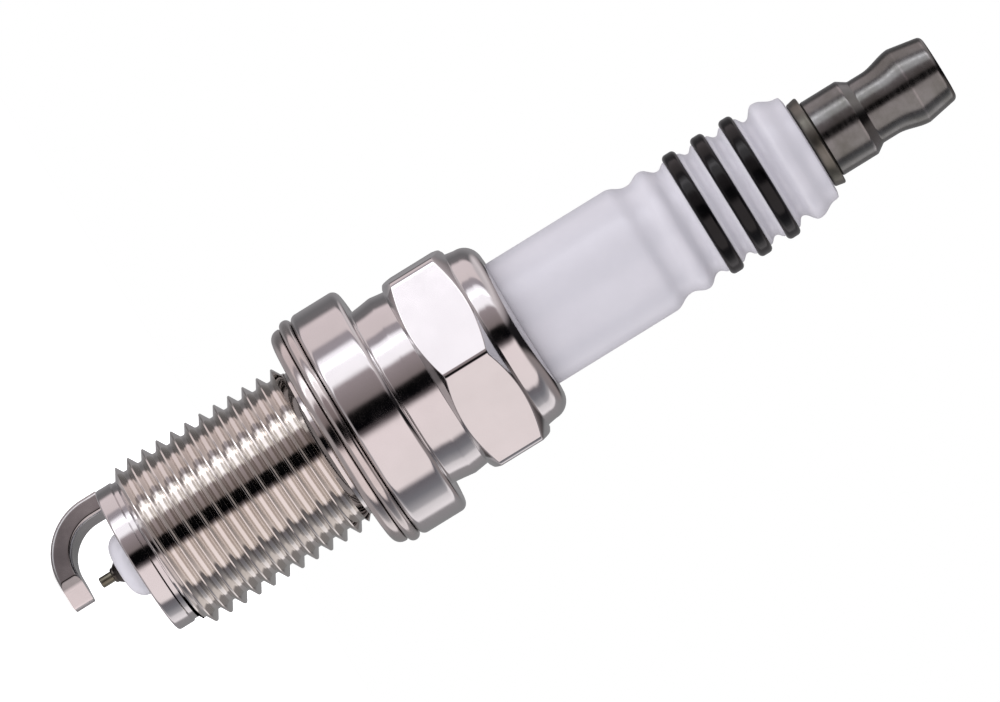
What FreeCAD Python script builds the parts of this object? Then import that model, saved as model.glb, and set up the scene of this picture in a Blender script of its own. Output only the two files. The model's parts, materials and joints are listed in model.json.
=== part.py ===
import FreeCAD, Part

import math
import os

from FreeCAD import Vector

# A long-reach M14 spark plug.  Units are millimetres.
# +Z runs along the plug's axis towards the terminal.
# z = 0 is the lower, sealing face of the crush gasket, where the plug meets the cylinder head.

# --- metal shell, outside ---
SHELL_END_Z = -17.0
PILOT_R = 6.0
PILOT_CORNER = 0.2
RELIEF_Z = -15.7
RELIEF_R = 5.88
THREAD_START_Z = -15.2
THREAD_LEAD = 0.6
THREAD_R = 6.9
THREAD_PITCH = 1.25
THREAD_DEPTH = 0.72
THREAD_END_Z = -1.05
THREAD_PHASE_DEG = -75.0
UNDERCUT_R = 6.1
UNDERCUT_Z = -0.4
FLANGE_Z = 2.0
FLANGE_TOP_Z = 6.1
FLANGE_R = 9.45
FLANGE_LOW_CORNER = 0.55
FLANGE_TOP_CORNER = 0.6
NECK_R = 7.35
NECK_BULGE_R = 7.57
NECK_BULGE_Z = 7.85
NECK_TOP_R = 7.4
HEX_Z = 9.05
HEX_TOP_Z = 14.3
HEX_FLATS = 15.8
HEX_CORNER_R = 9.0
HEX_END_R = 7.6
HEX_CHAMFER_SLOPE = math.tan(math.radians(30))
LIP_FOOT_R = 7.36
LIP_R = 7.27
LIP_TOP_Z = 16.55
LIP_ROLL = 1.5
LIP_EDGE_ROLL = 0.5
LIP_UNDERCUT_R = 5.27
LIP_UNDER_Z = 15.3

# --- metal shell, inside ---
MOUTH_BORE_R = 4.5
LEDGE_R = 3.85
LEDGE_Z = -9.6
SEAT_Z = -7.6
SEAT_SLOPE = 0.667
MID_BORE_R = 4.9
MID_BORE_TOP_Z = 6.9
PACKING_BORE_R = 6.1

# --- insulator ---
NOSE_Z = -18.5
NOSE_FACE_R = 1.2
NOSE_R = 2.6
NOSE_SHOULDER_Z = -17.3
NOSE_ROOT_R = 3.3
SEAT_GAP = 0.42
MID_R = 4.8
SHOULDER_R = 6.0
SHOULDER_TOP_Z = 11.9
STEM_LOW_R = 4.95
STEM_LOW_Z = 12.5
STEM_R = 5.2
STEM_Z = 16.55
STEM_TOP_Z = 26.75
BAND_R = 5.12
BAND_SKIN = 0.08
BAND_CORNER = 0.36
BAND_FOOT_R = 4.7
BAND_SPANS = ((31.7, 32.85), (34.15, 35.3), (36.6, 37.75))
RIB_WAVES = ((28.45, 4.63), (29.75, 5.04), (31.0, 4.36))
VALLEYS = ((33.55, 4.29), (36.0, 4.28), (38.4, 4.09))
HEAD_Z = 39.5
HEAD_R = 4.93
HEAD_TOP_R = 4.36
HEAD_EDGE_Z = 41.2
HEAD_TOP_Z = 41.55
HEAD_FACE_R = 3.9
BORE_R = 2.1
PIN_BORE_R = 1.0
PIN_BORE_TOP_Z = 0.45

# --- centre electrode and its tip ---
PIN_R = 0.95
PIN_HEAD_R = 1.9
PIN_HEAD_Z = 1.05
PIN_HEAD_TOP_Z = 1.95
PIN_KNOB_R = 1.2
PIN_KNOB_Z = 3.2
CONE_Z = -18.5
CONE_END_Z = -18.9
CONE_END_R = 0.6
TIP_R = 0.42
TIP_EDGE = 0.1
TIP_END_Z = -20.15
TIP_ROOT_Z = -18.55
WELD_R = 0.5
WELD_Z = -19.12
CORE_R = 0.55
CORE_Z = -15.0

# --- glass seals and resistor, stacked in the insulator's bore ---
RESISTOR_Z = 5.5
RESISTOR_TOP_Z = 13.5
SEAL_TOP_Z = 18.0

# --- terminal stud ---
STUD_Z = 15.0
KNURL_R = 1.75
KNURL_GROOVE = 0.18
KNURL_PITCH = 0.6
SHANK_R = 1.95
COLLAR_Z = 41.6
COLLAR_TOP_Z = 42.5
COLLAR_R = 3.5
COLLAR_RIM_R = 3.68
STUD_R = 2.0
STUD_PITCH = 0.7
STUD_THREAD_DEPTH = 0.42
STUD_RELIEF_R = 1.55
STUD_THREAD_Z = 43.2
STUD_TOP_Z = 52.2
STUD_CHAMFER = 0.45

# --- terminal nut ---
NUT_Z = 42.52
NUT_TOP_Z = 52.75
NUT_R = 3.13
NUT_FOOT_CORNER = 0.15
NUT_SHOULDER_Z = 45.55
NUT_WAIST_R = 2.63
NUT_WAIST_Z = 46.4
NUT_WAIST_TOP_Z = 47.6
NUT_FLARE_Z = 50.15
NUT_END_R = 2.65
NUT_END_CORNER = 0.45
NUT_BORE_R = 2.05
NUT_BORE_CHAMFER = 0.35

# --- crush gasket, folded from one sheet in four layers ---
GASKET_SHEET = 0.40
GASKET_LOW_R = 9.15
GASKET_LOW_ROUND = 0.8
GASKET_LOW_EDGE = 0.12
GASKET_TOP_R = 9.5
GASKET_LOW_GAP = 0.2
GASKET_NOTCH = 0.06
GASKET_TOP_Z = 1.98
GASKET_FACE_IN_R = 7.35
GASKET_FOLD_IN_R = 7.1
GASKET_LIP_R = 6.6

# --- ground electrode ---
STRAP_TURN_DEG = 161.0
STRAP_WIDTH = 2.75
STRAP_THICK = 1.62
STRAP_EDGE = 0.32
STRAP_OUT_R = 6.0
STRAP_BEND_R = 4.6
STRAP_OUT_Z = -22.8
STRAP_REACH = 0.85
STRAP_TAPER_LENGTH = 2.0
STRAP_TAPER_END_WIDTH = 1.1

# --- packing under the crimp ---
PACKING_WIRE_R = 0.56
PACKING_LOW_Z = 13.07
PACKING_TOP_Z = 14.72

AXIS = Vector(0, 0, 1)
ORIGIN = Vector(0, 0, 0)


def at(r, z):
    """A point of a half-section: radius r from the axis, height z."""
    return Vector(r, 0, z)


class Outline:
    """A half-section drawn step by step, then turned about the axis."""

    def __init__(self, r, z):
        self.first = at(r, z)
        self.last = self.first
        self.edges = []

    def add(self, curve, end):
        self.edges.append(curve.toShape())
        self.last = end
        return self

    def line(self, r, z):
        end = at(r, z)
        return self.add(Part.LineSegment(self.last, end), end)

    def arc(self, mid_r, mid_z, r, z):
        end = at(r, z)
        return self.add(Part.Arc(self.last, at(mid_r, mid_z), end), end)

    def corner(self, r, z, turn):
        """A quarter round from the last point; turn is +1 to bulge towards +r first, -1 towards z first."""
        start = self.last
        dr, dz = r - start.x, z - start.z
        near, far = math.sin(math.radians(45)), 1 - math.cos(math.radians(45))
        share_r, share_z = (near, far) if turn > 0 else (far, near)
        return self.arc(start.x + dr * share_r, start.z + dz * share_z, r, z)

    def wave(self, r, z, ease=0.45):
        """A smooth half wave, level with the axis at both of its ends."""
        start = self.last
        run = (z - start.z) * ease
        curve = Part.BezierCurve()
        end = at(r, z)
        curve.setPoles([start, at(start.x, start.z + run), at(r, z - run), end])
        return self.add(curve, end)

    def turned(self):
        if (self.last - self.first).Length > 1e-9:
            self.line(self.first.x, self.first.z)
        wire = Part.Wire(self.edges)
        solid = Part.Face(wire).revolve(ORIGIN, AXIS, 360)
        return solid if solid.ShapeType == "Solid" else Part.makeSolid(solid)


def ring(inner_r, outer_r, low_z, high_z):
    outline = Outline(inner_r, low_z)
    outline.line(outer_r, low_z)
    outline.line(outer_r, high_z)
    outline.line(inner_r, high_z)
    return outline.turned()


def rod(r, low_z, high_z):
    return Part.makeCylinder(r, high_z - low_z, at(0, low_z), AXIS)


def helical_groove(major_r, depth, pitch, low_z, high_z, phase_deg=0.0):
    """The right-hand V groove, flat at its root, that cuts a metric thread into a round bar."""
    root_r = major_r - depth
    over_r = major_r + 0.04 * pitch
    outer_r = major_r + 0.25 * pitch
    root_half = pitch / 8
    over_half = root_half + (over_r - root_r) * math.tan(math.radians(30))
    path = []
    for turn in range(math.ceil((high_z - low_z) / pitch)):
        one_turn = Part.makeHelix(pitch, pitch, root_r)
        one_turn.translate(at(0, turn * pitch))
        path.extend(one_turn.Edges)
    corners = [
        at(root_r, -root_half),
        at(over_r, -over_half),
        at(outer_r, -over_half),
        at(outer_r, over_half),
        at(over_r, over_half),
        at(root_r, root_half),
    ]
    sweep = Part.BRepOffsetAPI.MakePipeShell(Part.Wire(path))
    sweep.setBiNormalMode(AXIS)
    sweep.add(Part.makePolygon(corners + corners[:1]), False, False)
    sweep.build()
    sweep.makeSolid()
    groove = sweep.shape()
    groove.translate(at(0, low_z))
    groove.rotate(ORIGIN, AXIS, phase_deg)
    return groove


def save(shape, node):
    """Write one node as STEP, after checking that it is a sound solid."""
    solid = shape.Solids[0] if len(shape.Solids) == 1 else shape
    assert solid.isValid() and solid.Volume > 0, node
    assert len(solid.Solids) == 1, node
    solid.exportStep("parts/" + node + ".step")


def shell_bar():
    """The shell's turned form with its stepped bore, before the hexagon and thread."""
    bar = Outline(MOUTH_BORE_R, SHELL_END_Z)
    bar.line(PILOT_R - PILOT_CORNER, SHELL_END_Z)
    bar.corner(PILOT_R, SHELL_END_Z + PILOT_CORNER, 1)
    bar.line(PILOT_R, RELIEF_Z)
    bar.line(RELIEF_R, RELIEF_Z + (PILOT_R - RELIEF_R))
    bar.line(RELIEF_R, THREAD_START_Z)
    bar.line(THREAD_R, THREAD_START_Z + THREAD_LEAD)
    bar.line(THREAD_R, THREAD_END_Z)
    bar.line(UNDERCUT_R, UNDERCUT_Z)
    bar.line(UNDERCUT_R, FLANGE_Z)
    bar.line(FLANGE_R - FLANGE_LOW_CORNER, FLANGE_Z)
    bar.corner(FLANGE_R, FLANGE_Z + FLANGE_LOW_CORNER, 1)
    bar.line(FLANGE_R, FLANGE_TOP_Z - FLANGE_TOP_CORNER)
    bar.corner(FLANGE_R - FLANGE_TOP_CORNER, FLANGE_TOP_Z, -1)
    bar.line(NECK_R, FLANGE_TOP_Z)
    bar.arc(NECK_BULGE_R, NECK_BULGE_Z, NECK_TOP_R, HEX_Z)
    bar.line(NECK_TOP_R, HEX_TOP_Z - 0.3)
    bar.line(LIP_FOOT_R, HEX_TOP_Z + 0.2)
    bar.line(LIP_R, LIP_TOP_Z - LIP_ROLL)
    bar.corner(LIP_R - LIP_ROLL, LIP_TOP_Z, -1)
    bar.corner(LIP_UNDERCUT_R, LIP_TOP_Z - LIP_EDGE_ROLL, 1)
    bar.line(LIP_UNDERCUT_R, LIP_UNDER_Z)
    bar.line(PACKING_BORE_R, LIP_UNDER_Z)
    bar.line(PACKING_BORE_R, MID_BORE_TOP_Z + (PACKING_BORE_R - MID_BORE_R))
    bar.line(MID_BORE_R, MID_BORE_TOP_Z)
    bar.line(MID_BORE_R, SEAT_Z + (MID_BORE_R - LEDGE_R) * SEAT_SLOPE)
    bar.line(LEDGE_R, SEAT_Z)
    bar.line(LEDGE_R, LEDGE_Z + 0.4)
    bar.line(MOUTH_BORE_R, LEDGE_Z)
    return bar.turned()


def shell_hexagon():
    """The spanner hexagon: flats square to X, corners on Y, both ends chamfered by a cone."""
    corner_r = HEX_FLATS / 2 / math.cos(math.radians(30))
    corners = []
    for side in range(7):
        turn = math.radians(30 + 60 * side)
        corners.append(Vector(corner_r * math.cos(turn), corner_r * math.sin(turn), HEX_Z))
    prism = Part.Face(Part.makePolygon(corners)).extrude(at(0, HEX_TOP_Z - HEX_Z))
    rise = (HEX_CORNER_R - HEX_END_R) * HEX_CHAMFER_SLOPE
    blank = Outline(PACKING_BORE_R + 0.5, HEX_Z)
    blank.line(HEX_END_R, HEX_Z)
    blank.line(HEX_CORNER_R, HEX_Z + rise)
    blank.line(HEX_CORNER_R, HEX_TOP_Z - rise)
    blank.line(HEX_END_R, HEX_TOP_Z)
    blank.line(PACKING_BORE_R + 0.5, HEX_TOP_Z)
    return prism.common(blank.turned())


def metal_shell():
    body = shell_bar().fuse(shell_hexagon()).removeSplitter()
    groove = helical_groove(
        THREAD_R,
        THREAD_DEPTH,
        THREAD_PITCH,
        THREAD_START_Z - THREAD_PITCH,
        UNDERCUT_Z + 0.1,
        THREAD_PHASE_DEG,
    )
    return body.cut(groove)


def rib_crest(outline, low_z, high_z, inset):
    """The square-shouldered crest of a banded rib, drawn inset below its outer surface."""
    outline.line(BAND_R - BAND_CORNER, low_z + inset)
    outline.corner(BAND_R - inset, low_z + BAND_CORNER, 1)
    outline.line(BAND_R - inset, high_z - BAND_CORNER)
    outline.corner(BAND_R - BAND_CORNER, high_z - inset, -1)


def insulator():
    seat_z = SEAT_Z + SEAT_GAP
    body = Outline(PIN_BORE_R, NOSE_Z)
    body.line(NOSE_FACE_R, NOSE_Z)
    body.corner(NOSE_R, NOSE_SHOULDER_Z, 1)
    body.line(NOSE_ROOT_R, seat_z - (LEDGE_R - NOSE_ROOT_R) * SEAT_SLOPE)
    body.line(MID_R, seat_z + (MID_R - LEDGE_R) * SEAT_SLOPE)
    body.line(MID_R, MID_BORE_TOP_Z + 0.05)
    body.line(SHOULDER_R, MID_BORE_TOP_Z + 0.05 + SHOULDER_R - MID_R)
    body.line(SHOULDER_R, SHOULDER_TOP_Z)
    body.line(STEM_LOW_R, STEM_LOW_Z)
    body.line(STEM_LOW_R, STEM_Z - (STEM_R - STEM_LOW_R))
    body.line(STEM_R, STEM_Z)
    body.line(STEM_R, STEM_TOP_Z)
    for z, r in RIB_WAVES:
        body.wave(r, z)
    for (low_z, high_z), (valley_z, valley_r) in zip(BAND_SPANS, VALLEYS):
        body.wave(BAND_FOOT_R, low_z)
        body.line(BAND_FOOT_R, low_z + BAND_SKIN)
        rib_crest(body, low_z, high_z, BAND_SKIN)
        body.line(BAND_FOOT_R, high_z - BAND_SKIN)
        body.line(BAND_FOOT_R, high_z)
        body.wave(valley_r, valley_z)
    body.wave(HEAD_R, HEAD_Z)
    body.wave(HEAD_TOP_R, HEAD_EDGE_Z)
    body.corner(HEAD_FACE_R, HEAD_TOP_Z, -1)
    body.line(BORE_R, HEAD_TOP_Z)
    body.line(BORE_R, PIN_BORE_TOP_Z + 0.6)
    body.line(PIN_BORE_R, PIN_BORE_TOP_Z)
    return body.turned()


def insulator_bands():
    """The black glaze rings: thin skins wrapped over the crests of the three main ribs."""
    bands = []
    for low_z, high_z in BAND_SPANS:
        outer = Outline(BAND_FOOT_R, low_z)
        rib_crest(outer, low_z, high_z, 0)
        outer.line(BAND_FOOT_R, high_z)
        inner = Outline(BAND_FOOT_R - BAND_SKIN, low_z + BAND_SKIN)
        rib_crest(inner, low_z, high_z, BAND_SKIN)
        inner.line(BAND_FOOT_R - BAND_SKIN, high_z - BAND_SKIN)
        bands.append(outer.turned().cut(inner.turned()))
    return bands


def centre_electrode():
    """The nickel pin: an exposed cone below, a seated head and a knob in the glass above."""
    pin = Outline(0, CONE_END_Z)
    pin.line(CONE_END_R, CONE_END_Z)
    pin.line(PIN_R, CONE_Z)
    pin.line(PIN_R, PIN_HEAD_Z - 0.55)
    pin.line(PIN_HEAD_R, PIN_HEAD_Z)
    pin.line(PIN_HEAD_R, PIN_HEAD_TOP_Z)
    pin.line(PIN_KNOB_R, PIN_HEAD_TOP_Z + 0.2)
    pin.line(PIN_KNOB_R, PIN_KNOB_Z)
    pin.line(0, PIN_KNOB_Z)
    body = pin.turned()
    return body.cut(centre_electrode_core()).cut(rod(TIP_R, TIP_END_Z, TIP_ROOT_Z))


def centre_electrode_core():
    core = Outline(0, CORE_Z)
    core.corner(CORE_R, CORE_Z + CORE_R, 1)
    core.line(CORE_R, PIN_KNOB_Z)
    core.line(0, PIN_KNOB_Z)
    return core.turned()


def centre_electrode_tip():
    tip = Outline(0, TIP_END_Z)
    tip.line(TIP_R - TIP_EDGE, TIP_END_Z)
    tip.corner(TIP_R, TIP_END_Z + TIP_EDGE, 1)
    tip.line(TIP_R, TIP_ROOT_Z)
    tip.line(0, TIP_ROOT_Z)
    return tip.turned()


def tip_weld():
    """The fused ring where the fine pin leaves the nickel cone, slightly bulged."""
    weld = Outline(TIP_R, WELD_Z)
    weld.line(WELD_R, WELD_Z)
    weld.arc(CONE_END_R - 0.01, (WELD_Z + CONE_END_Z) / 2, CONE_END_R, CONE_END_Z)
    weld.line(TIP_R, CONE_END_Z)
    return weld.turned()


def lower_glass_seal():
    fill = rod(BORE_R, PIN_HEAD_TOP_Z, RESISTOR_Z)
    shoulder = Outline(0, PIN_HEAD_TOP_Z)
    shoulder.line(PIN_HEAD_R, PIN_HEAD_TOP_Z)
    shoulder.line(PIN_KNOB_R, PIN_HEAD_TOP_Z + 0.2)
    shoulder.line(PIN_KNOB_R, PIN_KNOB_Z)
    shoulder.line(0, PIN_KNOB_Z)
    return fill.cut(shoulder.turned())


def resistor():
    return rod(BORE_R, RESISTOR_Z, RESISTOR_TOP_Z)


def stud_blank():
    """The stud's turned form: ringed foot, shank, flared collar and a plain M4 end."""
    stud = Outline(0, STUD_Z)
    stud.line(KNURL_R, STUD_Z)
    ring_z = STUD_Z + KNURL_PITCH
    while ring_z < SEAL_TOP_Z - KNURL_PITCH / 2:
        stud.line(KNURL_R, ring_z - KNURL_PITCH / 4)
        stud.line(KNURL_R - KNURL_GROOVE, ring_z)
        stud.line(KNURL_R, ring_z + KNURL_PITCH / 4)
        ring_z += KNURL_PITCH
    stud.line(KNURL_R, SEAL_TOP_Z)
    stud.line(SHANK_R, SEAL_TOP_Z + 0.2)
    stud.line(SHANK_R, COLLAR_Z)
    stud.line(COLLAR_R - 0.15, COLLAR_Z)
    stud.corner(COLLAR_R, COLLAR_Z + 0.15, 1)
    stud.line(COLLAR_RIM_R, COLLAR_TOP_Z - 0.15)
    stud.corner(COLLAR_RIM_R - 0.15, COLLAR_TOP_Z, -1)
    stud.line(STUD_RELIEF_R, COLLAR_TOP_Z)
    stud.line(STUD_RELIEF_R, STUD_THREAD_Z - (STUD_R - STUD_RELIEF_R))
    stud.line(STUD_R, STUD_THREAD_Z)
    stud.line(STUD_R, STUD_TOP_Z - STUD_CHAMFER)
    stud.line(STUD_R - STUD_CHAMFER, STUD_TOP_Z)
    stud.line(0, STUD_TOP_Z)
    return stud.turned()


def terminal_stud():
    groove = helical_groove(
        STUD_R,
        STUD_THREAD_DEPTH,
        STUD_PITCH,
        STUD_THREAD_Z - STUD_PITCH / 2,
        STUD_TOP_Z + STUD_PITCH,
    )
    return stud_blank().cut(groove)


def upper_glass_seal():
    fill = rod(BORE_R, RESISTOR_TOP_Z, SEAL_TOP_Z)
    return fill.cut(stud_blank())


def terminal_nut():
    nut = Outline(NUT_BORE_R + NUT_BORE_CHAMFER, NUT_Z)
    nut.line(NUT_R - NUT_FOOT_CORNER, NUT_Z)
    nut.corner(NUT_R, NUT_Z + NUT_FOOT_CORNER, 1)
    nut.line(NUT_R, NUT_SHOULDER_Z)
    nut.line(NUT_WAIST_R, NUT_WAIST_Z)
    nut.line(NUT_WAIST_R, NUT_WAIST_TOP_Z)
    nut.wave(NUT_R, NUT_FLARE_Z, 0.33)
    nut.line(NUT_END_R, NUT_TOP_Z - NUT_END_CORNER)
    nut.corner(NUT_END_R - NUT_END_CORNER, NUT_TOP_Z, -1)
    nut.line(NUT_BORE_R, NUT_TOP_Z)
    nut.line(NUT_BORE_R, NUT_Z + NUT_BORE_CHAMFER)
    return nut.turned()


def seat_washer():
    """A thin cone washer between the shell's ledge and the insulator's seat."""
    gap = 0.01
    low_r, high_r = LEDGE_R + 0.1, MID_R - 0.05
    washer = Outline(low_r, SEAT_Z + (low_r - LEDGE_R) * SEAT_SLOPE + gap)
    washer.line(high_r, SEAT_Z + (high_r - LEDGE_R) * SEAT_SLOPE + gap)
    washer.line(high_r, SEAT_Z + SEAT_GAP + (high_r - LEDGE_R) * SEAT_SLOPE - gap)
    washer.line(low_r, SEAT_Z + SEAT_GAP + (low_r - LEDGE_R) * SEAT_SLOPE - gap)
    return washer.turned()


def packing_ring(z):
    return Part.makeTorus((STEM_LOW_R + PACKING_BORE_R) / 2, PACKING_WIRE_R, at(0, z), AXIS)


def talc_fill():
    gap = 0.01
    fill = ring(STEM_LOW_R + gap, PACKING_BORE_R - gap, PACKING_LOW_Z, PACKING_TOP_Z)
    for z in (PACKING_LOW_Z, PACKING_TOP_Z):
        middle_r = (STEM_LOW_R + PACKING_BORE_R) / 2
        fill = fill.cut(Part.makeTorus(middle_r, PACKING_WIRE_R + gap, at(0, z), AXIS))
    return fill


def crush_gasket():
    """One sheet folded out, in and out again: four layers, sealing face down."""
    second_z = GASKET_SHEET + GASKET_LOW_GAP
    second_top_z = second_z + GASKET_SHEET
    third_z = second_top_z + GASKET_NOTCH
    fourth_z = GASKET_TOP_Z - GASKET_SHEET
    low_in = GASKET_LOW_GAP / 2
    low_c = GASKET_LOW_R - GASKET_SHEET - low_in
    notch_in = GASKET_NOTCH / 2
    top_turn = (GASKET_TOP_Z - third_z) / 2
    top_in = top_turn - GASKET_SHEET
    top_c = GASKET_TOP_R - top_turn
    in_turn = (third_z + GASKET_SHEET - second_z) / 2
    fold_c = GASKET_FOLD_IN_R + in_turn
    strip = Outline(GASKET_FACE_IN_R, 0)
    strip.line(GASKET_LOW_R - GASKET_LOW_ROUND, 0)
    strip.corner(GASKET_LOW_R, GASKET_LOW_ROUND, 1)
    strip.line(GASKET_LOW_R, second_top_z - GASKET_LOW_EDGE)
    strip.corner(GASKET_LOW_R - GASKET_LOW_EDGE, second_top_z, -1)
    strip.line(fold_c, second_top_z)
    strip.arc(fold_c - notch_in, third_z - notch_in, fold_c, third_z)
    strip.line(top_c, third_z)
    strip.arc(GASKET_TOP_R, third_z + top_turn, top_c, GASKET_TOP_Z)
    strip.line(GASKET_LIP_R, GASKET_TOP_Z)
    strip.line(GASKET_LIP_R, fourth_z)
    strip.line(top_c, fourth_z)
    strip.arc(top_c + top_in, fourth_z - top_in, top_c, third_z + GASKET_SHEET)
    strip.line(fold_c, third_z + GASKET_SHEET)
    strip.arc(GASKET_FOLD_IN_R, second_z + in_turn, fold_c, second_z)
    strip.line(low_c, second_z)
    strip.arc(low_c + low_in, second_z - low_in, low_c, GASKET_SHEET)
    strip.line(GASKET_FACE_IN_R, GASKET_SHEET)
    return strip.turned()


def strap_section():
    """The bar's section, across its width (Y) and thickness (X), with rounded edges."""
    half = STRAP_WIDTH / 2
    section = Part.makeBox(STRAP_THICK, STRAP_WIDTH, 1, Vector(STRAP_OUT_R - STRAP_THICK, -half, 0))
    return section.makeFillet(STRAP_EDGE, [e for e in section.Edges if e.BoundBox.ZLength > 0.5])


def ground_electrode():
    """The J: down from the shell's end face, a round bend, then across under the tip."""
    bend_z = STRAP_OUT_Z + STRAP_BEND_R
    bend_r = STRAP_OUT_R - STRAP_BEND_R
    floor = min(strap_section().Faces, key=lambda f: f.CenterOfMass.z)
    floor.translate(at(0, bend_z))
    leg = floor.extrude(at(0, SHELL_END_Z - bend_z))
    bend = floor.revolve(at(bend_r, bend_z), Vector(0, 1, 0), 90)
    end_face = max(bend.Faces, key=lambda f: f.CenterOfMass.z * -1 - abs(f.CenterOfMass.x - bend_r))
    arm = end_face.extrude(at(-(bend_r + STRAP_REACH), 0))
    bar = leg.fuse(bend).fuse(arm).removeSplitter()
    for side in (1, -1):
        bar = bar.cut(taper_cutter(side))
    bar.rotate(ORIGIN, AXIS, STRAP_TURN_DEG)
    return bar


def taper_cutter(side):
    """The wedge that slants one side of the bar's free end."""
    root_x = -STRAP_REACH + STRAP_TAPER_LENGTH
    slope = (STRAP_WIDTH - STRAP_TAPER_END_WIDTH) / 2 / STRAP_TAPER_LENGTH
    past = 1.0
    low_z = STRAP_OUT_Z - past
    corners = [
        Vector(root_x + past, side * (STRAP_WIDTH / 2 + past * slope), low_z),
        Vector(-STRAP_REACH - past, side * (STRAP_TAPER_END_WIDTH / 2 - past * slope), low_z),
        Vector(-STRAP_REACH - past, side * STRAP_WIDTH, low_z),
        Vector(root_x + past, side * STRAP_WIDTH, low_z),
    ]
    outline = Part.Face(Part.makePolygon(corners + corners[:1]))
    return outline.extrude(at(0, STRAP_THICK + 2 * past))


os.makedirs("parts", exist_ok=True)

save(metal_shell(), "metal_shell")
save(crush_gasket(), "crush_gasket")
save(ground_electrode(), "ground_electrode")
save(insulator(), "insulator")
for number, band in enumerate(insulator_bands(), 1):
    save(band, "insulator_band_" + str(number))
save(centre_electrode(), "centre_electrode")
save(centre_electrode_core(), "centre_electrode_core")
save(centre_electrode_tip(), "centre_electrode_tip")
save(tip_weld(), "tip_weld")
save(lower_glass_seal(), "lower_glass_seal")
save(resistor(), "resistor")
save(upper_glass_seal(), "upper_glass_seal")
save(terminal_stud(), "terminal_stud")
save(terminal_nut(), "terminal_nut")
save(seat_washer(), "seat_washer")
save(packing_ring(PACKING_LOW_Z), "lower_packing_ring")
save(talc_fill(), "talc_fill")
save(packing_ring(PACKING_TOP_Z), "upper_packing_ring")
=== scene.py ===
import json
import math

import bmesh
import bpy
from mathutils import Matrix, Vector


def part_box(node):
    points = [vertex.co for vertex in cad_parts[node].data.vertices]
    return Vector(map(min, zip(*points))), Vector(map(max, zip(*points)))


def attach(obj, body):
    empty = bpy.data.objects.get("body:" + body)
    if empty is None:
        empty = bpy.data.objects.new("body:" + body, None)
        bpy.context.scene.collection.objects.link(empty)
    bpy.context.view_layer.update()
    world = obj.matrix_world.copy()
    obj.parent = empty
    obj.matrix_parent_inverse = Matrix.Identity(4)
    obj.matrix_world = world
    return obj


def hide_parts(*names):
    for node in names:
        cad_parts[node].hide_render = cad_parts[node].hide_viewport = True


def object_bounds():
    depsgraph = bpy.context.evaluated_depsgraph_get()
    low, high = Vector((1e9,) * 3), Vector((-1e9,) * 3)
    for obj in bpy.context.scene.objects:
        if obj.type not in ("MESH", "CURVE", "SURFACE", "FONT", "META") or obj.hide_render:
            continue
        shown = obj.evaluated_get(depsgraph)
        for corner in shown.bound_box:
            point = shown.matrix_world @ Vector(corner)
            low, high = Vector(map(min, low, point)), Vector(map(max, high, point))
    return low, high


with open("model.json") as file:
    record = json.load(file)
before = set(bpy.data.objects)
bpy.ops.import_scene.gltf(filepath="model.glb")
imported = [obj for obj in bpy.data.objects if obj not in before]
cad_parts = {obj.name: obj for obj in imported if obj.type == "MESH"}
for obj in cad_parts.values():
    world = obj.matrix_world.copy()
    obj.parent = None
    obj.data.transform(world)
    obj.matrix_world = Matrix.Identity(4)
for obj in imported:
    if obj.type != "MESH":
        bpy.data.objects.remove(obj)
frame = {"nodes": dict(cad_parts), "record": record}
cad_low, cad_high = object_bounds()

MM = 0.001
# Columns round the large and the small turned pieces, and steps in a small fillet.
ROUND = 288
FINE_ROUND = 128
FILLET_STEPS = 5
LARGE_FILLET = 0.3


# ---------------------------------------------------------------- outlines and surfaces

def extent(node):
    """Lowest and highest corner of a CAD node, in millimetres."""
    low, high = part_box(node)
    return low / MM, high / MM


def fillet(before, corner, after, cut, steps):
    """Points of the arc that rounds one corner of an outline, cutting each side by cut."""
    to_before = (before - corner).normalized()
    to_after = (after - corner).normalized()
    if cut == 0.0:
        return [corner.copy() for _ in range(steps + 1)]
    radius = cut * math.tan(to_before.angle(to_after) / 2)
    a = corner + to_before * cut
    b = corner + to_after * cut
    middle = corner + (to_before + to_after).normalized() * math.hypot(cut, radius)
    start = a - middle
    sweep = -start.angle_signed(b - middle)
    return [middle + Matrix.Rotation(sweep * step / steps, 2) @ start for step in range(steps + 1)]


def rounded(corners, closed=False):
    """An outline through (radius, height, fillet) corners, each rounded by its own fillet."""
    spots = [Vector(c[:2]) for c in corners]
    fillets = [c[2] if len(c) > 2 else 0.0 for c in corners]
    count = len(spots)
    cuts = []
    for i, spot in enumerate(spots):
        cut = 0.0
        if fillets[i] > 0.0 and (closed or 0 < i < count - 1):
            turn = (spots[i - 1] - spot).angle(spots[(i + 1) % count] - spot)
            if turn < math.pi - 0.02:
                cut = fillets[i] / math.tan(turn / 2)
        cuts.append(cut)

    def room(i, j):
        return min(1.0, 0.98 * (spots[i] - spots[j]).length / max(cuts[i] + cuts[j], 1e-6))

    points = []
    for i, spot in enumerate(spots):
        if fillets[i] == 0.0:
            points.append(spot)
            continue
        before, after = i - 1, (i + 1) % count
        cut = cuts[i] * min(room(before, i), room(i, after))
        steps = FILLET_STEPS if fillets[i] < LARGE_FILLET else 2 * FILLET_STEPS
        points.extend(fillet(spots[before], spot, spots[after], cut, steps))
    return points


def wave(start, end, steps=10, ease=0.45):
    """The corners of a smooth half wave, level with the axis at both ends; start is left out."""
    (r0, z0), (r1, z1) = start, end
    run = (z1 - z0) * ease
    points = []
    for step in range(1, steps + 1):
        t = step / steps
        s = 1 - t
        r = r0 * (s**3 + 3 * s * s * t) + r1 * (t**3 + 3 * s * t * t)
        z = z0 * s**3 + (z0 + run) * 3 * s * s * t + (z1 - run) * 3 * s * t * t + z1 * t**3
        points.append((r, z))
    return points


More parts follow.
